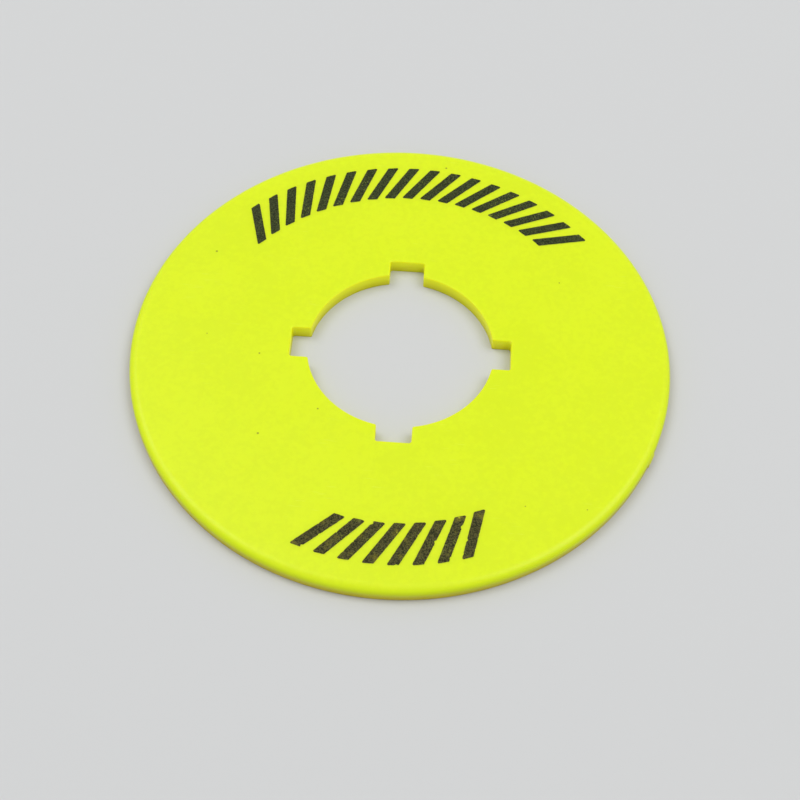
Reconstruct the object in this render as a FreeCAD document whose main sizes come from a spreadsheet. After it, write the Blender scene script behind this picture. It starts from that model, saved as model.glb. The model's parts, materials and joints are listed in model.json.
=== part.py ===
import FreeCAD, Part

import math
import os

import Sketcher

# Round legend plate (marking ring) for a 22 mm emergency-stop operator, in millimetres.
#
# One moulded plastic disc with a keyed bore. Black foil is hot-stamped flush into its front face, as
# two arcs of slanted hatch strokes. The origin is on the bore's axis, in the back face that lies on the
# control panel. +Z points out of the printed front face, and +Y points to the upper print.

DIMENSIONS = {
    # the moulded disc
    "plate_diameter": 64.5,
    "plate_thickness": 1.85,
    "front_rim_round": 0.75,
    "back_rim_round": 0.15,
    # the bore that the operator's neck passes through, and its keying notches
    "bore_diameter": 22.3,
    "bore_front_round": 0.15,
    "notch_count": 4,
    "notch_width": 4.2,
    "notch_reach": 13.2,
    "notch_floor_round": 0.3,
    "notch_mouth_round": 0.2,
    # what is left of the moulding gate on the rim, between the front and back rounds
    "gate_angle": -23.2,
    "gate_width": 1.8,
    "gate_proud": 0.15,
    "gate_floor": 0.25,
    "gate_height": 0.9,
    # round marks that the ejector pins leave in the back face
    "ejector_count": 4,
    "ejector_first_angle": 45.0,
    "ejector_circle_radius": 22.0,
    "ejector_mark_diameter": 3.0,
    "ejector_mark_depth": 0.1,
    # the foil print: slanted strokes between two radii
    "print_depth": 0.05,
    "print_inner_radius": 23.7,
    "print_outer_radius": 28.9,
    "stroke_width": 1.15,
    "stroke_slant": 32.0,
    "stroke_pitch": 5.45,
    "upper_centre_angle": 90.7,
    "upper_stroke_count": 18,
    "lower_centre_angle": -87.4,
    "lower_stroke_count": 8,
    # how far a notch or the gate mark starts inside the wall that it belongs to
    "wall_overlap": 1.0,
}

FULL_TURN = "360"
ORIGIN = -1
START, END, CENTRE = 1, 2, 3
SMALL = 1e-4

doc = FreeCAD.newDocument("LegendPlate")
sheet = doc.addObject("Spreadsheet::Sheet", "Dimensions")


def fill_sheet():
    """Write each driving dimension beside its name, which is also its cell's alias."""
    for row, (name, value) in enumerate(DIMENSIONS.items(), start=1):
        sheet.set(f"A{row}", name)
        sheet.set(f"B{row}", str(value))
        sheet.setAlias(f"B{row}", name)
    doc.recompute()


def dim(name):
    """The expression that reads one driving dimension."""
    return f"{sheet.Name}.{name}"


def new_body(label):
    """An empty body whose label names its file. A body of loose strokes holds several solids."""
    body = doc.addObject("PartDesign::Body", label)
    body.Label = label
    body.AllowCompound = True
    return body


def origin_feature(body, role):
    """One of the body's own origin planes or axes."""
    return next(item for item in body.Origin.OriginFeatures if item.Role == role)


def new_sketch(body, name, height="0", turn="0"):
    """A sketch parallel to the body's XY plane. Expressions give its height and its turn about Z."""
    sketch = body.newObject("Sketcher::SketchObject", name)
    sketch.AttachmentSupport = [(origin_feature(body, "XY_Plane"), "")]
    sketch.MapMode = "FlatFace"
    about_z = FreeCAD.Rotation(FreeCAD.Vector(0, 0, 1), 0)
    sketch.AttachmentOffset = FreeCAD.Placement(FreeCAD.Vector(), about_z)
    sketch.setExpression("AttachmentOffset.Base.z", height)
    sketch.setExpression("AttachmentOffset.Rotation.Angle", turn)
    return sketch


def measure(sketch, name, expression, *constraint):
    """Add a named dimension to a sketch and tie it to an expression."""
    sketch.addConstraint(Sketcher.Constraint(*constraint, sketch.evalExpression(expression)))
    sketch.renameConstraint(sketch.ConstraintCount - 1, name)
    sketch.setExpression(f"Constraints.{name}", expression)


def draw_circle(sketch, diameter, centre_x="0"):
    """A circle centred on the sketch's X axis."""
    centre = FreeCAD.Vector(sketch.evalExpression(centre_x), 0, 0)
    radius = sketch.evalExpression(diameter) / 2
    circle = sketch.addGeometry(Part.Circle(centre, FreeCAD.Vector(0, 0, 1), radius))
    measure(sketch, "diameter", diameter, "Diameter", circle)
    measure(sketch, "centre_x", centre_x, "DistanceX", ORIGIN, START, circle, CENTRE)
    measure(sketch, "centre_y", "0", "DistanceY", ORIGIN, START, circle, CENTRE)


def draw_outline(sketch, corners):
    """A closed outline of straight sides. Each corner is a pair of expressions."""
    points = [
        FreeCAD.Vector(sketch.evalExpression(x), sketch.evalExpression(y), 0) for x, y in corners
    ]
    sides = [
        sketch.addGeometry(Part.LineSegment(begin, finish))
        for begin, finish in zip(points, points[1:] + points[:1])
    ]
    for side, following in zip(sides, sides[1:] + sides[:1]):
        sketch.addConstraint(Sketcher.Constraint("Coincident", side, END, following, START))
    for number, (side, (x, y)) in enumerate(zip(sides, corners), start=1):
        measure(sketch, f"corner_{number}_x", x, "DistanceX", side, START)
        measure(sketch, f"corner_{number}_y", y, "DistanceY", side, START)


def draw_radial_block(sketch, inner, outer, width):
    """A rectangle centred on the X axis, from one distance from the origin to another."""
    draw_outline(
        sketch,
        [
            (inner, f"-({width}) / 2"),
            (outer, f"-({width}) / 2"),
            (outer, f"({width}) / 2"),
            (inner, f"({width}) / 2"),
        ],
    )


def draw_stroke(sketch):
    """One hatch stroke across the print band on the X axis, its outer end leaning clockwise."""
    inner, outer = dim("print_inner_radius"), dim("print_outer_radius")
    lean = f"({outer} - {inner}) / 2 * tan({dim('stroke_slant')})"
    half_end = f"{dim('stroke_width')} / 2 / cos({dim('stroke_slant')})"
    draw_outline(
        sketch,
        [
            (inner, f"{lean} - {half_end}"),
            (outer, f"-{lean} - {half_end}"),
            (outer, f"-{lean} + {half_end}"),
            (inner, f"{lean} + {half_end}"),
        ],
    )


def extrude(body, kind, name, sketch, length=None, reverse=False):
    """Pad or pocket a sketch. A pocket with no length goes right through, and must take material away."""
    before = body.Shape.Volume if body.Tip else 0
    feature = body.newObject(f"PartDesign::{kind}", name)
    feature.Profile = sketch
    feature.Reversed = reverse
    if length:
        feature.setExpression("Length", length)
    else:
        feature.Type = "ThroughAll"
    doc.recompute()
    change = feature.Shape.Volume - before
    if (change > 0) != (kind == "Pad") or abs(change) < SMALL:
        raise RuntimeError(f"{name} changes the volume by {change}")
    return feature


def repeat(body, name, feature, count, span):
    """Repeat a body's last feature about Z, over an angle from the first copy to the last."""
    base = feature.BaseFeature.Shape.Volume if feature.BaseFeature else 0
    one = feature.Shape.Volume - base
    pattern = body.newObject("PartDesign::PolarPattern", name)
    pattern.Originals = [feature]
    pattern.Axis = (origin_feature(body, "Z_Axis"), [""])
    pattern.setExpression("Angle", span)
    pattern.setExpression("Occurrences", count)
    body.Tip = pattern
    doc.recompute()
    expected = base + one * pattern.Occurrences
    if abs(pattern.Shape.Volume - expected) > SMALL:
        raise RuntimeError(f"{name} has a volume of {pattern.Shape.Volume}, not {expected}")
    return pattern


def round_edges(body, name, radius, wanted):
    """Fillet the edges of the body's last feature that a test picks out."""
    base = body.Tip
    edges = [f"Edge{n}" for n, edge in enumerate(base.Shape.Edges, start=1) if wanted(edge)]
    fillet = body.newObject("PartDesign::Fillet", name)
    fillet.Base = (base, edges)
    fillet.setExpression("Radius", radius)
    doc.recompute()


def reach(edge):
    """How far an edge's furthest end is from the bore's axis."""
    return max(math.hypot(vertex.X, vertex.Y) for vertex in edge.Vertexes)


def lies_at(edge, height):
    """Whether both ends of an edge are at one height."""
    return all(abs(vertex.Z - height) < SMALL for vertex in edge.Vertexes)


def print_arc(body, name, kind, side):
    """Pad or pocket one arc of hatch strokes, print_depth deep from the front face down."""
    centre = dim(f"{side}_centre_angle")
    count = dim(f"{side}_stroke_count")
    span = f"{dim('stroke_pitch')} * ({count} - 1)"
    sketch = new_sketch(body, f"{name}_sketch", dim("plate_thickness"), f"{centre} - {span} / 2")
    draw_stroke(sketch)
    stroke = extrude(body, kind, name, sketch, dim("print_depth"), reverse=kind == "Pad")
    repeat(body, f"{name}_arc", stroke, count, span)


def make_legend_plate():
    """The moulded disc, with its bore, notches, rounded edges, gate mark and print recesses."""
    body = new_body("legend_plate")
    radius = sheet.get("plate_diameter") / 2
    front = sheet.get("plate_thickness")

    disc = new_sketch(body, "disc_sketch")
    draw_circle(disc, dim("plate_diameter"))
    extrude(body, "Pad", "disc", disc, dim("plate_thickness"))
    round_edges(
        body,
        "front_rim",
        dim("front_rim_round"),
        lambda edge: lies_at(edge, front) and reach(edge) > radius - SMALL,
    )
    round_edges(
        body,
        "back_rim",
        dim("back_rim_round"),
        lambda edge: lies_at(edge, 0) and reach(edge) > radius - SMALL,
    )

    bore = new_sketch(body, "bore_sketch", dim("plate_thickness"))
    draw_circle(bore, dim("bore_diameter"))
    extrude(body, "Pocket", "bore", bore)

    notch_sketch = new_sketch(body, "notch_sketch", dim("plate_thickness"))
    draw_radial_block(
        notch_sketch,
        f"{dim('bore_diameter')} / 2 - {dim('wall_overlap')}",
        dim("notch_reach"),
        dim("notch_width"),
    )
    notch = extrude(body, "Pocket", "notch", notch_sketch)
    repeat(body, "notches", notch, dim("notch_count"), FULL_TURN)

    bore_radius = sheet.get("bore_diameter") / 2
    opening_radius = sheet.get("notch_reach") + sheet.get("notch_width") / 2
    round_edges(
        body,
        "notch_floors",
        dim("notch_floor_round"),
        lambda edge: not lies_at(edge, edge.Vertexes[0].Z)
        and bore_radius + SMALL < reach(edge) < opening_radius,
    )
    round_edges(
        body,
        "notch_mouths",
        dim("notch_mouth_round"),
        lambda edge: not lies_at(edge, edge.Vertexes[0].Z) and reach(edge) < bore_radius + SMALL,
    )
    round_edges(
        body,
        "bore_front",
        dim("bore_front_round"),
        lambda edge: lies_at(edge, front) and reach(edge) < opening_radius,
    )

    gate = new_sketch(body, "gate_sketch", dim("gate_floor"), dim("gate_angle"))
    draw_radial_block(
        gate,
        f"{dim('plate_diameter')} / 2 - {dim('wall_overlap')}",
        f"{dim('plate_diameter')} / 2 + {dim('gate_proud')}",
        dim("gate_width"),
    )
    extrude(body, "Pad", "gate_mark", gate, dim("gate_height"))

    ejector = new_sketch(body, "ejector_sketch", turn=dim("ejector_first_angle"))
    draw_circle(ejector, dim("ejector_mark_diameter"), dim("ejector_circle_radius"))
    mark = extrude(body, "Pocket", "ejector_mark", ejector, dim("ejector_mark_depth"), reverse=True)
    repeat(body, "ejector_marks", mark, dim("ejector_count"), FULL_TURN)

    for side in ("upper", "lower"):
        print_arc(body, f"{side}_recess", "Pocket", side)
    return body


def make_print(side):
    """The foil of one arc of hatch strokes, which fills its recesses up to the front face."""
    body = new_body(f"{side}_print")
    print_arc(body, f"{side}_stroke", "Pad", side)
    return body


def check_document(bodies):
    """Stop unless every object was computed and every body has a sound shape."""
    doc.recompute()
    for item in doc.Objects:
        if "Invalid" in item.State or "Error" in item.State:
            raise RuntimeError(f"{item.Name} is {item.State}")
    for body in bodies:
        if body.Shape.isNull() or not body.Shape.isValid():
            raise RuntimeError(f"{body.Label} has no sound shape")


def export_bodies(bodies):
    """Write one STEP file for each body."""
    os.makedirs("parts", exist_ok=True)
    for body in bodies:
        body.Shape.exportStep(f"parts/{body.Label}.step")
        box = body.Shape.BoundBox
        print(
            f"{body.Label}: {len(body.Shape.Solids)} solids, {body.Shape.Volume:.3f} mm3,"
            f" x {box.XMin:.3f}..{box.XMax:.3f}, y {box.YMin:.3f}..{box.YMax:.3f},"
            f" z {box.ZMin:.3f}..{box.ZMax:.3f}"
        )


fill_sheet()
sub_parts = [make_legend_plate(), make_print("upper"), make_print("lower")]
check_document(sub_parts)
export_bodies(sub_parts)
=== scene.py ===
import json
import math

import bpy
from mathutils import Matrix, Vector, geometry, noise


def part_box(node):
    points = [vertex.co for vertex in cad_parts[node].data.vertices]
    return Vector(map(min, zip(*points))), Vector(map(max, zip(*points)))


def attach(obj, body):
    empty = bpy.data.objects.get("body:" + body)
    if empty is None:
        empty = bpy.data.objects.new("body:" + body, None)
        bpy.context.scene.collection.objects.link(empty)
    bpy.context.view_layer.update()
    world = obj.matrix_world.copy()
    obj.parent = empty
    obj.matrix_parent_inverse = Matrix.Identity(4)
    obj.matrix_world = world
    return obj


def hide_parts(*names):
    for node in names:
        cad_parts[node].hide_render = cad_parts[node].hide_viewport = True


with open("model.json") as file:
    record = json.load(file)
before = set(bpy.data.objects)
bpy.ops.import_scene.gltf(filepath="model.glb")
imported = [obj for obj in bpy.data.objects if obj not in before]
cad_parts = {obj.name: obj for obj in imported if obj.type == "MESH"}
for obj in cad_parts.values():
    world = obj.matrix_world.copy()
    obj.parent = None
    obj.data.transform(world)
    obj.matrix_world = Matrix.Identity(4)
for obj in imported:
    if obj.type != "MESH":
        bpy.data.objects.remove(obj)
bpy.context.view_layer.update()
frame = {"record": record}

# The looks of a round legend plate: a moulded yellow disc with a keyed bore, and black foil stamped
# into its front face as two arcs of slanted hatch strokes. Lengths are in metres, and in
# millimetres inside the materials.

MM = 0.001
FULL_TURN = 2 * math.pi
QUARTER_TURN = math.pi / 2

# ---- sizes of the plate ----

plate_low, plate_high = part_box("legend_plate")
mounts = {mount["name"]: mount for mount in frame["record"]["mounts"]}

RIM_RADIUS = (plate_high.x - plate_low.x) / 2
FRONT = plate_high.z
BACK = plate_low.z
BORE_RADIUS = mounts["device_bore"]["dims"]["r_mm"] * MM

# the front rim's rounding is a quarter of an ellipse: how far down and how far in it goes
FRONT_RIM_ROUND = 0.75 * MM
FRONT_RIM_REACH = 1.1 * MM
BACK_RIM_ROUND = 0.15 * MM
BORE_FRONT_ROUND = 0.15 * MM
NOTCH_COUNT = 4
NOTCH_WIDTH = 4.2 * MM
NOTCH_REACH = 13.2 * MM
NOTCH_FLOOR_ROUND = 0.3 * MM
NOTCH_MOUTH_ROUND = 0.2 * MM

# what is left of the moulding gate on the rim
GATE_ANGLE = math.radians(-23.2)
GATE_WIDTH = 1.8 * MM
GATE_FLOOR = 0.25 * MM
GATE_HEIGHT = 0.9 * MM
GATE_PROUD = 0.15 * MM
GATE_TEAR_SIZE = 0.35 * MM
GATE_TORN_SHARE = 0.22
GATE_SIDE_SHARE = 0.12
GATE_TOP_SHARE = 0.2

EJECTOR_COUNT = 4
EJECTOR_FIRST_ANGLE = math.radians(45)
EJECTOR_CIRCLE_RADIUS = 22 * MM
EJECTOR_MARK_RADIUS = 1.5 * MM
EJECTOR_MARK_DEPTH = 0.1 * MM

# ---- sizes of the print ----

PRINT_DEPTH = 0.05 * MM
PRINT_INNER_RADIUS = 23.7 * MM
PRINT_OUTER_RADIUS = 28.9 * MM
STAMPED_BELOW = 0.004 * MM
STROKE_WIDTH = 1.15 * MM
STROKE_SLANT = math.radians(32)
STROKE_PITCH = math.radians(5.45)
STROKE_CORNER_ROUND = 0.14 * MM
UPPER_CENTRE = math.radians(90.7)
UPPER_STROKES = 18
UPPER_CHIP_DEPTH = 0.1 * MM
LOWER_CENTRE = math.radians(-87.4)
LOWER_STROKES = 8
LOWER_CHIP_DEPTH = 0.6 * MM

# the foil's torn edge: a fine waver with finer teeth in it, and here and there a chip
TEAR_DEPTH = 0.022 * MM
TEAR_SIZE = 0.28 * MM
TEETH_PER_TEAR = 3
TEETH_SHARE = 0.5
CHIP_SIZE = 0.62 * MM
CHIP_THRESHOLD = 0.42

# ---- how finely the meshes follow the shapes ----

RIM_COLUMNS = 720
GATE_COLUMNS = 72
MARK_COLUMNS = 64
ROUND_STEPS = 8
BACK_ROUND_STEPS = 4
CORNER_STEPS = 6
FOIL_CORNER_STEPS = 3
WALL_STEPS = 14
BORE_STEP = math.radians(0.75)
NOTCH_STEP = 0.2 * MM
FOIL_STEP = 0.09 * MM
SHARP_ANGLE = math.radians(40)
WELD_DISTANCE = 1e-9


# ---- mesh building ----


class MeshBuilder:
    """Collects points and faces, and turns them into an object."""

    def __init__(self):
        self.points = []
        self.faces = []

    def loop(self, points):
        """Add a closed loop of points, and give back their numbers."""
        first = len(self.points)
        self.points.extend(points)
        return list(range(first, len(self.points)))

    def bridge(self, upper, lower):
        """Join two loops of equal length with a band of quads. Both run anticlockwise round the solid."""
        for here in range(len(upper)):
            there = (here + 1) % len(upper)
            self.faces.append((upper[here], lower[here], lower[there], upper[there]))

    def fill(self, outer, holes=(), facing_up=True):
        """Fill a flat loop with triangles, leaving its holes open."""
        loops = [outer, *holes]
        numbers = [number for loop in loops for number in loop]
        flat = [Vector(self.points[number][:2]) for number in numbers]
        outlines = []
        start = 0
        for loop in loops:
            outlines.append(list(range(start, start + len(loop))))
            start += len(loop)
        with_holes = 1
        made = geometry.delaunay_2d_cdt(flat, [], outlines, with_holes, WELD_DISTANCE, True)
        _, _, triangles, sources, _, owners = made
        for triangle, owner in zip(triangles, owners):
            # a triangle inside a hole belongs to the hole's outline as well as to the outer one
            if owner != [0]:
                continue
            corners = [numbers[sources[corner][0]] for corner in triangle]
            self.faces.append(corners if facing_up else corners[::-1])

    def build(self, name):
        """Make the object, smooth-shaded with its sharp edges kept."""
        mesh = bpy.data.meshes.new(name)
        mesh.from_pydata([tuple(point) for point in self.points], [], self.faces)
        mesh.validate()
        piece = bpy.data.objects.new(name, mesh)
        bpy.context.scene.collection.objects.link(piece)
        mesh.shade_smooth()
        mesh.set_sharp_from_angle(angle=SHARP_ANGLE)
        weighted = piece.modifiers.new("even_flats", "WEIGHTED_NORMAL")
        weighted.keep_sharp = True
        weighted.weight = 100
        return piece


# An outline is a list of (point, normal) pairs seen from the front.


def at_height(outline, height, inset=0):
    """An outline as 3-D points at a height, moved along its normals by an inset."""
    return [(point + normal * inset).to_3d() + Vector((0, 0, height)) for point, normal in outline]


def arc(centre, radius, start, end, steps, hollow=False):
    """Points on an arc, with normals that point away from its centre, or to it for a hollow arc."""
    pairs = []
    for step in range(steps + 1):
        angle = start + (end - start) * step / steps
        outward = Vector((math.cos(angle), math.sin(angle)))
        pairs.append((centre + outward * radius, -outward if hollow else outward))
    return pairs


def straight(begin, end, normal, step):
    """Points on a straight run, without its ends."""
    count = max(1, round((end - begin).length / step))
    return [(begin.lerp(end, index / count), normal) for index in range(1, count)]


def circle(centre, radius, count):
    """A closed round outline."""
    return arc(centre, radius, 0, FULL_TURN, count)[:-1]


def rounded_polygon(corners, radius, step):
    """A convex polygon that runs anticlockwise, with its corners rounded."""
    count = len(corners)
    outline = []
    for index, corner in enumerate(corners):
        following = corners[(index + 1) % count]
        beyond = corners[(index + 2) % count]
        arriving = (corner - corners[index - 1]).normalized()
        leaving = (following - corner).normalized()
        half_turn = arriving.angle(leaving) / 2
        cut = radius * math.tan(half_turn)
        next_cut = radius * math.tan(leaving.angle(beyond - following) / 2)
        inward = Vector((-arriving.y, arriving.x))
        centre = corner - arriving * cut + inward * radius
        start = math.atan2(-inward.y, -inward.x)
        side_normal = Vector((leaving.y, -leaving.x))
        outline += arc(centre, radius, start, start + 2 * half_turn, FOIL_CORNER_STEPS)
        outline += straight(corner + leaving * cut, following - leaving * next_cut, side_normal, step)
    return outline


def turned(outline, angle):
    """An outline turned about the plate's axis."""
    turn = Matrix.Rotation(angle, 2)
    return [(turn @ point, turn @ normal) for point, normal in outline]


# ---- the bore and its notches ----


def notch_sector():
    """From the middle of one notch's floor, along its side, to halfway round the bore to the next."""
    half = NOTCH_WIDTH / 2
    floor_centre = Vector((NOTCH_REACH - NOTCH_FLOOR_ROUND, half - NOTCH_FLOOR_ROUND))
    mouth_y = half + NOTCH_MOUTH_ROUND
    mouth_distance = BORE_RADIUS + NOTCH_MOUTH_ROUND
    mouth_centre = Vector((math.sqrt(mouth_distance**2 - mouth_y**2), mouth_y))
    mouth_angle = math.atan2(mouth_centre.y, mouth_centre.x)

    along_x = Vector((1, 0))
    along_y = Vector((0, 1))
    floor_middle = Vector((NOTCH_REACH, 0))
    floor_end = Vector((NOTCH_REACH, floor_centre.y))
    side_start = Vector((floor_centre.x, half))
    side_end = Vector((mouth_centre.x, half))
    sector_end = FULL_TURN / NOTCH_COUNT / 2
    bore_steps = round((sector_end - mouth_angle) / BORE_STEP)

    outline = [(floor_middle, along_x)]
    outline += straight(floor_middle, floor_end, along_x, NOTCH_STEP)
    outline += arc(floor_centre, NOTCH_FLOOR_ROUND, 0, QUARTER_TURN, CORNER_STEPS)
    outline += straight(side_start, side_end, along_y, NOTCH_STEP)
    outline += arc(
        mouth_centre, NOTCH_MOUTH_ROUND, -QUARTER_TURN, mouth_angle - math.pi, CORNER_STEPS, True
    )
    outline += arc(Vector((0, 0)), BORE_RADIUS, mouth_angle, sector_end, bore_steps)[1:]
    return outline


def opening_outline():
    """The bore with its notches, anticlockwise. Normals point into the plastic."""
    sector = notch_sector()
    mirrored = [
        (Vector((point.x, -point.y)), Vector((normal.x, -normal.y)))
        for point, normal in reversed(sector[1:-1])
    ]
    outline = []
    for number in range(NOTCH_COUNT):
        angle = FULL_TURN * number / NOTCH_COUNT
        outline += turned(mirrored + sector, angle)
    return outline


def add_opening(builder):
    """The wall of the bore and its notches. Gives its loops at the front and back faces."""
    outline = opening_outline()
    loops = []
    for step in range(ROUND_STEPS + 1):
        angle = QUARTER_TURN * step / ROUND_STEPS
        inset = BORE_FRONT_ROUND * (1 - math.sin(angle))
        height = FRONT - BORE_FRONT_ROUND * (1 - math.cos(angle))
        loops.append(builder.loop(at_height(outline, height, inset)))
    loops.append(builder.loop(at_height(outline, BACK)))
    for upper, lower in zip(loops, loops[1:]):
        builder.bridge(lower, upper)
    return loops[0], loops[-1]


# ---- the rim and its gate mark ----


def off_gate(angle):
    """How far round the rim an angle is from the gate mark, from minus to plus half a turn."""
    return (angle - GATE_ANGLE + math.pi) % FULL_TURN - math.pi


def gate_swell(angle, height):
    """How far the gate mark stands out of the rim: a small torn pad with soft sides."""
    across = abs(off_gate(angle)) * RIM_RADIUS / (GATE_WIDTH / 2)
    up = abs(height - BACK - GATE_FLOOR - GATE_HEIGHT / 2) / (GATE_HEIGHT / 2)
    if across >= 1 or up >= 1:
        return 0
    shoulder = min(1, (1 - across) / GATE_SIDE_SHARE) * min(1, (1 - up) / GATE_TOP_SHARE)
    torn = noise.noise(Vector((angle * RIM_RADIUS, height, 0)) / GATE_TEAR_SIZE)
    return GATE_PROUD * shoulder * (1 - GATE_TORN_SHARE + GATE_TORN_SHARE * torn)


def rim_angles():
    """Even angles round the rim, with closer ones where the gate mark is."""
    gate_half = GATE_WIDTH / RIM_RADIUS
    angles = [FULL_TURN * number / RIM_COLUMNS for number in range(RIM_COLUMNS)]
    angles = [angle for angle in angles if abs(off_gate(angle)) > gate_half]
    angles += [
        (GATE_ANGLE + gate_half * (2 * number / GATE_COLUMNS - 1)) % FULL_TURN
        for number in range(GATE_COLUMNS + 1)
    ]
    return sorted(angles)


def rim_profile():
    """(inset, height) pairs from the front face round the rim's edge to the back face."""
    profile = []
    for step in range(ROUND_STEPS + 1):
        angle = QUARTER_TURN * step / ROUND_STEPS
        inset = FRONT_RIM_REACH * (1 - math.sin(angle))
        profile.append((inset, FRONT - FRONT_RIM_ROUND * (1 - math.cos(angle))))
    wall_top = FRONT - FRONT_RIM_ROUND
    wall_end = BACK + BACK_RIM_ROUND
    for step in range(1, WALL_STEPS):
        profile.append((0, wall_top + (wall_end - wall_top) * step / WALL_STEPS))
    for step in range(BACK_ROUND_STEPS + 1):
        angle = QUARTER_TURN * step / BACK_ROUND_STEPS
        inset = BACK_RIM_ROUND * (1 - math.cos(angle))
        profile.append((inset, BACK + BACK_RIM_ROUND * (1 - math.sin(angle))))
    return profile


def add_rim(builder):
    """The disc's edge. Gives its loops at the front and back faces."""
    angles = rim_angles()
    loops = []
    for inset, height in rim_profile():
        points = []
        for angle in angles:
            radius = RIM_RADIUS - inset + gate_swell(angle, height)
            points.append(Vector((math.cos(angle) * radius, math.sin(angle) * radius, height)))
        loops.append(builder.loop(points))
    for upper, lower in zip(loops, loops[1:]):
        builder.bridge(upper, lower)
    return loops[0], loops[-1]


# ---- the foil strokes ----


def torn_edge(outline, chip_depth):
    """An outline that wavers like torn foil, with chips out of it."""
    torn = []
    for point, normal in outline:
        place = point.to_3d()
        waver = noise.noise(place / TEAR_SIZE)
        teeth = noise.noise(place * TEETH_PER_TEAR / TEAR_SIZE)
        chip = max(0, noise.noise(place / CHIP_SIZE) - CHIP_THRESHOLD)
        outward = (waver + TEETH_SHARE * teeth) * TEAR_DEPTH - chip * chip_depth
        torn.append((point + normal * outward, normal))
    return torn


def stroke_outline(angle, chip_depth):
    """One slanted foil stroke at an angle round the plate."""
    lean = (PRINT_OUTER_RADIUS - PRINT_INNER_RADIUS) / 2 * math.tan(STROKE_SLANT)
    half_end = STROKE_WIDTH / 2 / math.cos(STROKE_SLANT)
    corners = [
        Vector((PRINT_INNER_RADIUS, lean - half_end)),
        Vector((PRINT_OUTER_RADIUS, -lean - half_end)),
        Vector((PRINT_OUTER_RADIUS, -lean + half_end)),
        Vector((PRINT_INNER_RADIUS, lean + half_end)),
    ]
    outline = rounded_polygon(corners, STROKE_CORNER_ROUND, FOIL_STEP)
    return torn_edge(turned(outline, angle), chip_depth)


def stroke_arc(centre, count, chip_depth):
    """The strokes of one printed arc, evenly spread about its centre angle."""
    angles = [centre + STROKE_PITCH * (number - (count - 1) / 2) for number in range(count)]
    return [stroke_outline(angle, chip_depth) for angle in angles]


# ---- the pieces ----


def add_recess(builder, outline, face, floor):
    """A shallow recess in a face, with its floor. Gives its loop on the face."""
    mouth = builder.loop(at_height(outline, face))
    bottom = builder.loop(at_height(outline, floor))
    in_front = face > floor
    if in_front:
        builder.bridge(bottom, mouth)
    else:
        builder.bridge(mouth, bottom)
    builder.fill(bottom, facing_up=in_front)
    return mouth


def make_plate(strokes):
    """The moulded disc, with a recess under every foil stroke and the ejector marks in its back."""
    builder = MeshBuilder()
    rim_front, rim_back = add_rim(builder)
    opening_front, opening_back = add_opening(builder)
    recesses = [add_recess(builder, outline, FRONT, FRONT - PRINT_DEPTH) for outline in strokes]
    marks = []
    for number in range(EJECTOR_COUNT):
        angle = EJECTOR_FIRST_ANGLE + FULL_TURN * number / EJECTOR_COUNT
        centre = Vector((math.cos(angle), math.sin(angle))) * EJECTOR_CIRCLE_RADIUS
        outline = circle(centre, EJECTOR_MARK_RADIUS, MARK_COLUMNS)
        marks.append(add_recess(builder, outline, BACK, BACK + EJECTOR_MARK_DEPTH))
    builder.fill(rim_front, [opening_front, *recesses])
    builder.fill(rim_back, [opening_back, *marks], facing_up=False)
    return builder.build("legend_plate_moulding")


def make_foil(name, strokes):
    """Foil strokes that fill their recesses, a hair below the face."""
    builder = MeshBuilder()
    for outline in strokes:
        top = builder.loop(at_height(outline, FRONT - STAMPED_BELOW))
        bottom = builder.loop(at_height(outline, FRONT - PRINT_DEPTH))
        builder.bridge(top, bottom)
        builder.fill(top)
        builder.fill(bottom, facing_up=False)
    return builder.build(name)


# ---- materials ----


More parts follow.
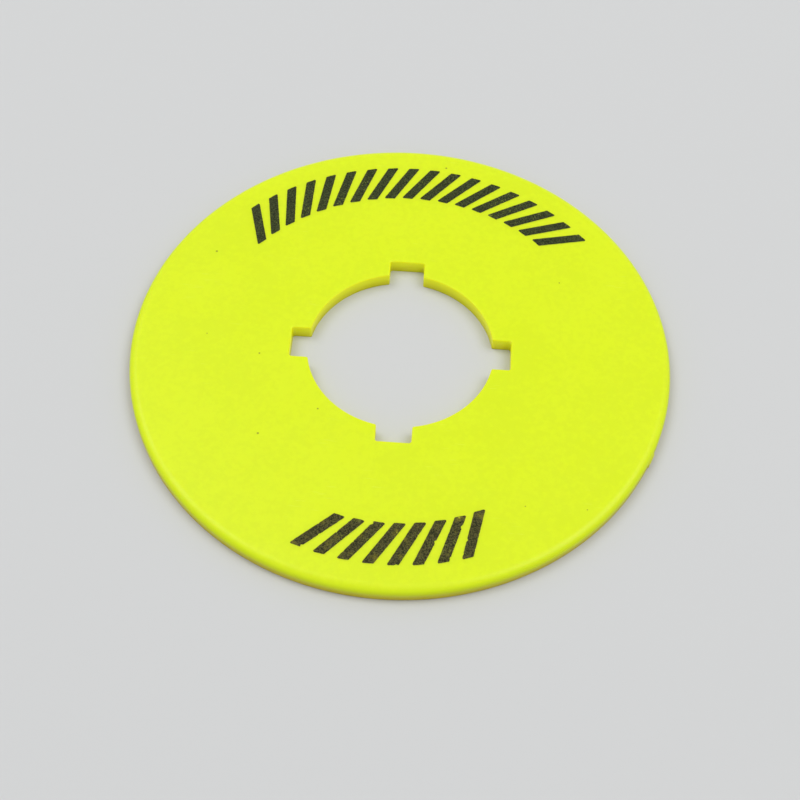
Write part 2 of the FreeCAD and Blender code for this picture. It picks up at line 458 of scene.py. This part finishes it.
class Shader:
    """A short way to write a node material whose lengths are in millimetres."""

    def __init__(self, name):
        self.material = bpy.data.materials.new(name)
        self.material.use_nodes = True
        self.tree = self.material.node_tree
        self.principled = self.tree.nodes["Principled BSDF"]
        coordinates = self.tree.nodes.new("ShaderNodeTexCoord")
        self.place = self.vector_math("SCALE", coordinates.outputs["Object"], Scale=1 / MM)

    def put(self, socket, value):
        """Set a socket, or link another socket to it."""
        if isinstance(value, bpy.types.NodeSocket):
            self.tree.links.new(value, socket)
        else:
            socket.default_value = value

    def math(self, operation, *values):
        """A Math node's result."""
        node = self.tree.nodes.new("ShaderNodeMath")
        node.operation = operation
        for socket, value in zip(node.inputs, values):
            self.put(socket, value)
        return node.outputs[0]

    def times(self, first, second):
        """The product of two values."""
        return self.math("MULTIPLY", first, second)

    def vector_math(self, operation, *values, **named):
        """A Vector Math node's result."""
        node = self.tree.nodes.new("ShaderNodeVectorMath")
        node.operation = operation
        for socket, value in zip(node.inputs, values):
            self.put(socket, value)
        for name, value in named.items():
            self.put(node.inputs[name], value)
        return node.outputs["Value" if operation in ("DISTANCE", "LENGTH") else "Vector"]

    def z_of(self, vector):
        """A vector's upward part."""
        node = self.tree.nodes.new("ShaderNodeSeparateXYZ")
        self.put(node.inputs["Vector"], vector)
        return node.outputs["Z"]

    def height(self):
        """Height above the origin."""
        return self.z_of(self.place)

    def from_axis(self):
        """Distance from the bore's axis."""
        flattened = self.vector_math("MULTIPLY", self.place, (1, 1, 0))
        return self.vector_math("LENGTH", flattened)

    def steepness(self):
        """How far the surface faces up or down: 1 where it lies flat and 0 where it is upright."""
        surface = self.tree.nodes.new("ShaderNodeNewGeometry")
        return self.math("ABSOLUTE", self.z_of(surface.outputs["Normal"]))

    def stretched(self, scale, turn):
        """The place, scaled along each axis and then turned about the upward one."""
        node = self.tree.nodes.new("ShaderNodeMapping")
        self.put(node.inputs["Vector"], self.place)
        self.put(node.inputs["Rotation"], (0, 0, turn))
        self.put(node.inputs["Scale"], scale)
        return node.outputs["Vector"]

    def noise(self, size, detail=2.0, roughness=0.5, offset=(0, 0, 0), place=None):
        """Noise from 0 to 1 whose features are about this size."""
        node = self.tree.nodes.new("ShaderNodeTexNoise")
        self.put(node.inputs["Vector"], self.vector_math("ADD", place or self.place, offset))
        self.put(node.inputs["Scale"], 1 / size)
        self.put(node.inputs["Detail"], detail)
        self.put(node.inputs["Roughness"], roughness)
        return node.outputs["Fac"]

    def ramp(self, value, low, high, to_low=0.0, to_high=1.0):
        """Map a value from one range to another with soft ends, and hold it there."""
        node = self.tree.nodes.new("ShaderNodeMapRange")
        node.interpolation_type = "SMOOTHSTEP"
        for socket, number in zip(node.inputs, (value, low, high, to_low, to_high)):
            self.put(socket, number)
        return node.outputs["Result"]

    def mix(self, amount, first, second):
        """Mix two colours."""
        node = self.tree.nodes.new("ShaderNodeMix")
        node.data_type = "RGBA"
        self.put(node.inputs["Factor"], amount)
        for name, value in (("A", first), ("B", second)):
            socket = next(s for s in node.inputs if s.name == name and s.type == "RGBA")
            self.put(socket, value)
        return next(s for s in node.outputs if s.type == "RGBA")

    def bump(self, height, distance):
        """Give the surface a bump whose height runs over a distance in metres."""
        node = self.tree.nodes.new("ShaderNodeBump")
        self.put(node.inputs["Height"], height)
        self.put(node.inputs["Distance"], distance)
        self.put(node.inputs["Strength"], 1.0)
        self.put(self.principled.inputs["Normal"], node.outputs["Normal"])

    def set(self, **values):
        """Set or link the shader's own sockets. Underscores in names stand for spaces."""
        for name, value in values.items():
            self.put(self.principled.inputs[name.replace("_", " ")], value)


FACE_YELLOW = (0.76, 0.9, 0.002, 1)
WARM_YELLOW = (0.725, 0.86, 0.002, 1)
SCUFFED_YELLOW = (0.8, 0.93, 0.06, 1)
# painted light and shade for the walls and the rim's rounding: the bore walls are painted brighter than
# the face at their top, and all walls are painted darker and warmer at the foot, the rim's most, as
# painted contact shade
BORE_WALL_TOP_PAINTED_LIGHT = (0.92, 1.0, 0.001, 1)
BORE_WALL_FOOT_PAINTED_SHADE = (0.74, 0.7, 0.001, 1)
RIM_TOP_PAINTED_SHADE = (0.7, 0.87, 0.001, 1)
RIM_FOOT_PAINTED_SHADE = (0.57, 0.45, 0.001, 1)
SPECK_BROWN = (0.22, 0.24, 0.01, 1)
FOIL_BLACK = (0.009, 0.012, 0.002, 1)
FOIL_GREY = (0.068, 0.084, 0.029, 1)
FADED_FOIL = (0.11, 0.1, 0.032, 1)
WORN_FOIL = (0.2, 0.175, 0.022, 1)
FLECK_OLIVE = (0.2, 0.24, 0.03, 1)
BARE_BROWN = (0.5, 0.52, 0.02, 1)
PAPER_GREY = (0.645, 0.645, 0.64, 1)
PAPER_PAINTED_LIGHT = (0.84, 0.84, 0.835, 1)

# dirt moulded into the face: how far right and up of the axis, and its radius, in millimetres
SPECKS = (
    (-23.9, 13.0, 0.19),
    (-16.7, -2.1, 0.15),
    (-15.5, -13.3, 0.18),
    (-9.0, -9.4, 0.15),
    (4.0, 29.4, 0.18),
    (18.9, 11.5, 0.12),
    (-23.3, 0.3, 0.1),
    (15.3, -20.5, 0.1),
    (22.2, -20.4, 0.1),
)


def specks(shader):
    """A mask of the few dark specks in the plastic."""
    core_share = 0.4
    mask = 0.0
    for right, up, radius in SPECKS:
        distance = shader.vector_math("DISTANCE", shader.place, (right, up, FRONT / MM))
        dot = shader.ramp(distance, low=radius * core_share, high=radius, to_low=1.0, to_high=0.0)
        mask = shader.math("MAXIMUM", mask, dot)
    return mask


def scuffs(shader):
    """A faint mask of short slanting rubs in a few places on the face."""
    along_rubs = shader.stretched(scale=(0.42, 3.12, 1.2), turn=math.radians(40))
    streaks = shader.noise(size=1.0, place=along_rubs)
    thin = shader.ramp(streaks, low=0.62, high=0.72, to_high=0.35)
    patches = shader.noise(size=6.0, detail=1.0, offset=(8.8, 2.2, 0))
    return shader.times(thin, shader.ramp(patches, low=0.56, high=0.66))


def mottled_face(shader):
    """The face's yellow: clouds and a fine mottle of a slightly duller tone, and scuffs."""
    clouds = shader.noise(size=9.0, detail=3.0)
    mottle = shader.noise(size=0.7, detail=3.0, roughness=0.6)
    duller = shader.math("ADD", clouds, shader.times(mottle, 1.5))
    amount = shader.ramp(duller, low=1.0, high=1.5, to_high=0.8)
    colour = shader.mix(amount, FACE_YELLOW, WARM_YELLOW)
    return shader.mix(scuffs(shader), colour, SCUFFED_YELLOW)


def wall_painted_light_and_shade(shader):
    """The upright walls' yellow with painted light and shade: painted brighter than the face at the top
    of the bore walls, and warmer and darker towards the foot, most at the rim, as painted contact shade.
    """
    at_rim = shader.ramp(
        shader.from_axis(), low=(BORE_RADIUS + RIM_RADIUS) / 2 / MM, high=RIM_RADIUS / MM
    )
    foot = shader.mix(at_rim, BORE_WALL_FOOT_PAINTED_SHADE, RIM_FOOT_PAINTED_SHADE)
    top = shader.mix(at_rim, BORE_WALL_TOP_PAINTED_LIGHT, RIM_TOP_PAINTED_SHADE)
    raised = shader.ramp(shader.height(), low=BACK / MM, high=FRONT / MM)
    return shader.mix(raised, foot, top)


def plastic_material():
    """Fluorescent yellow plastic with a satin moulded skin, and painted light and shade on its walls and
    the rim's rounding.
    """
    shader = Shader("plate_plastic")
    # the walls and the rim's rounding take the painted light and shade in place of the face's yellow
    upright = shader.ramp(shader.steepness(), low=0.6, high=0.998, to_low=1.0, to_high=0.0)
    colour = shader.mix(upright, mottled_face(shader), wall_painted_light_and_shade(shader))
    colour = shader.mix(shader.times(specks(shader), 0.75), colour, SPECK_BROWN)

    skin = shader.noise(size=0.16, roughness=0.6)
    waves = shader.noise(size=7.0, detail=1.0)
    shader.bump(shader.math("ADD", shader.times(skin, 0.12), waves), distance=0.03 * MM)
    gloss_patches = shader.noise(size=3.0, detail=3.0)
    shader.set(
        Base_Color=colour,
        Roughness=shader.ramp(gloss_patches, low=0.2, high=0.8, to_low=0.32, to_high=0.42),
        Specular_IOR_Level=0.35,
        Subsurface_Weight=0.6,
        Subsurface_Radius=(1.0, 0.85, 0.15),
        Subsurface_Scale=0.8 * MM,
    )
    return shader.material


def foil_flecks(shader):
    """A mask of small pale flecks, which gather in a few areas."""
    dots = shader.noise(size=0.24, detail=1.0, offset=(4.7, 8.1, 0))
    areas = shader.noise(size=4.0, detail=1.0, offset=(0.4, 6.2, 0))
    return shader.times(
        shader.ramp(dots, low=0.6, high=0.7), shader.ramp(areas, low=0.46, high=0.6)
    )


def foil_material(name, pale_foil, worn_share):
    """Matt black foil with a fine grain, rubbed thin in patches. worn_share says how much is rubbed."""
    shader = Shader(name)
    grain = shader.noise(size=0.15, roughness=0.6)
    colour = shader.mix(shader.ramp(grain, low=0.34, high=0.66), FOIL_BLACK, pale_foil)
    colour = shader.mix(shader.times(foil_flecks(shader), 0.7), colour, FLECK_OLIVE)

    patches = shader.noise(size=1.5, detail=3.0, roughness=0.6, offset=(3.1, 7.7, 0))
    rubbed = shader.ramp(patches, low=0.68 - worn_share, high=0.9 - worn_share)
    rubbed_grain = shader.times(rubbed, shader.ramp(grain, low=0.2, high=0.6))
    colour = shader.mix(rubbed_grain, colour, WORN_FOIL)

    crumbs = shader.noise(size=0.3, offset=(9.4, 1.3, 0))
    bare = shader.times(
        shader.ramp(crumbs, low=0.58, high=0.68),
        shader.ramp(patches, low=0.78 - worn_share, high=0.86 - worn_share),
    )
    colour = shader.mix(bare, colour, BARE_BROWN)

    shader.bump(grain, distance=0.006 * MM)
    shader.set(
        Base_Color=colour,
        Roughness=shader.ramp(grain, low=0.3, high=0.7, to_low=0.55, to_high=0.68),
        Specular_IOR_Level=0.12,
    )
    return shader.material


# ---- floor, light and camera ----


def studio_profile():
    """(radius, height) pairs of the studio's flat floor and the bend at its edge."""
    floor_radius = 0.5
    bend_radius = 1.0
    bend_angle = math.radians(60)
    bend_steps = 20
    profile = [(radius, 0.0) for radius in (0.15, 0.3, floor_radius)]
    for step in range(1, bend_steps + 1):
        angle = bend_angle * step / bend_steps
        radius = floor_radius + bend_radius * math.sin(angle)
        profile.append((radius, bend_radius * (1 - math.cos(angle))))
    return profile


def make_studio():
    """A pale bowl: a flat floor that curves up all round, with painted light that makes the bend paler as
    it rises.
    """
    columns = 96
    axis = Vector((0, 0))
    builder = MeshBuilder()
    centre = builder.loop([axis.to_3d()])[0]
    loops = [
        builder.loop(at_height(circle(axis, radius, columns), height))
        for radius, height in studio_profile()
    ]
    for here in range(columns):
        builder.faces.append((centre, loops[0][here], loops[0][(here + 1) % columns]))
    for inner, outer in zip(loops, loops[1:]):
        builder.bridge(inner, outer)
    floor = builder.build("studio_floor")
    floor.location.z = BACK

    # painted light: the bend is painted paler as it rises, making up for the light that reaches it less
    # than the floor
    painted_light_height = 250
    shader = Shader("studio_paper")
    painted_light_rise = shader.ramp(shader.height(), low=0, high=painted_light_height)
    shader.set(
        Base_Color=shader.mix(painted_light_rise, PAPER_GREY, PAPER_PAINTED_LIGHT),
        Roughness=0.8,
        Specular_IOR_Level=0.2,
    )
    floor.data.materials.append(shader.material)


def make_softbox(name, power, place):
    """A square softbox that faces the plate."""
    lamp = bpy.data.lights.new(name, "AREA")
    lamp.shape = "SQUARE"
    lamp.size = 0.55
    lamp.energy = power
    holder = bpy.data.objects.new(name, lamp)
    holder.location = place
    holder.rotation_euler = (-Vector(place)).to_track_quat("-Z", "Y").to_euler()
    bpy.context.scene.collection.objects.link(holder)


def light_scene():
    """A softbox high on each side, as over a copy stand, and an even pale surround."""
    make_softbox("left_softbox", power=2.35, place=(-0.42, 0.2, 0.8))
    make_softbox("right_softbox", power=2.45, place=(0.46, 0.06, 0.8))
    world = bpy.data.worlds.new("surround")
    world.use_nodes = True
    background = world.node_tree.nodes["Background"]
    background.inputs["Color"].default_value = (0.96, 0.98, 1.0, 1)
    background.inputs["Strength"].default_value = 0.61
    bpy.context.scene.world = world
    bpy.context.scene.view_settings.view_transform = "Standard"


def make_camera():
    """The camera looks down at the plate from in front, turned slightly about its own line of sight."""
    place = Vector((4.013, -99.154, 139.696)) * MM
    right = Vector((0.99751, 0.06785, 0.01921))
    forward = Vector((-0.02164, 0.55382, -0.83236))
    up = right.cross(forward)
    camera = bpy.data.cameras.new("camera")
    camera.lens = 63.92
    camera.sensor_width = 36
    camera.clip_start = 0.01
    holder = bpy.data.objects.new("camera", camera)
    axes = Matrix((right, up, -forward)).transposed()
    holder.matrix_world = Matrix.Translation(place) @ axes.to_4x4()
    bpy.context.scene.collection.objects.link(holder)
    bpy.context.scene.camera = holder


# ---- putting it together ----

make_camera()
upper_strokes = stroke_arc(UPPER_CENTRE, UPPER_STROKES, UPPER_CHIP_DEPTH)
lower_strokes = stroke_arc(LOWER_CENTRE, LOWER_STROKES, LOWER_CHIP_DEPTH)

plate = make_plate(upper_strokes + lower_strokes)
plate.data.materials.append(plastic_material())
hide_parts("legend_plate")
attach(plate, "root")

for side, strokes, pale_foil, worn_share in (
    ("upper", upper_strokes, FOIL_GREY, 0.0),
    ("lower", lower_strokes, FADED_FOIL, 0.13),
):
    foil = make_foil(f"{side}_foil", strokes)
    foil.data.materials.append(foil_material(f"{side}_foil_black", pale_foil, worn_share))
    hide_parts(f"{side}_print")
    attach(foil, "root")

make_studio()
light_scene()
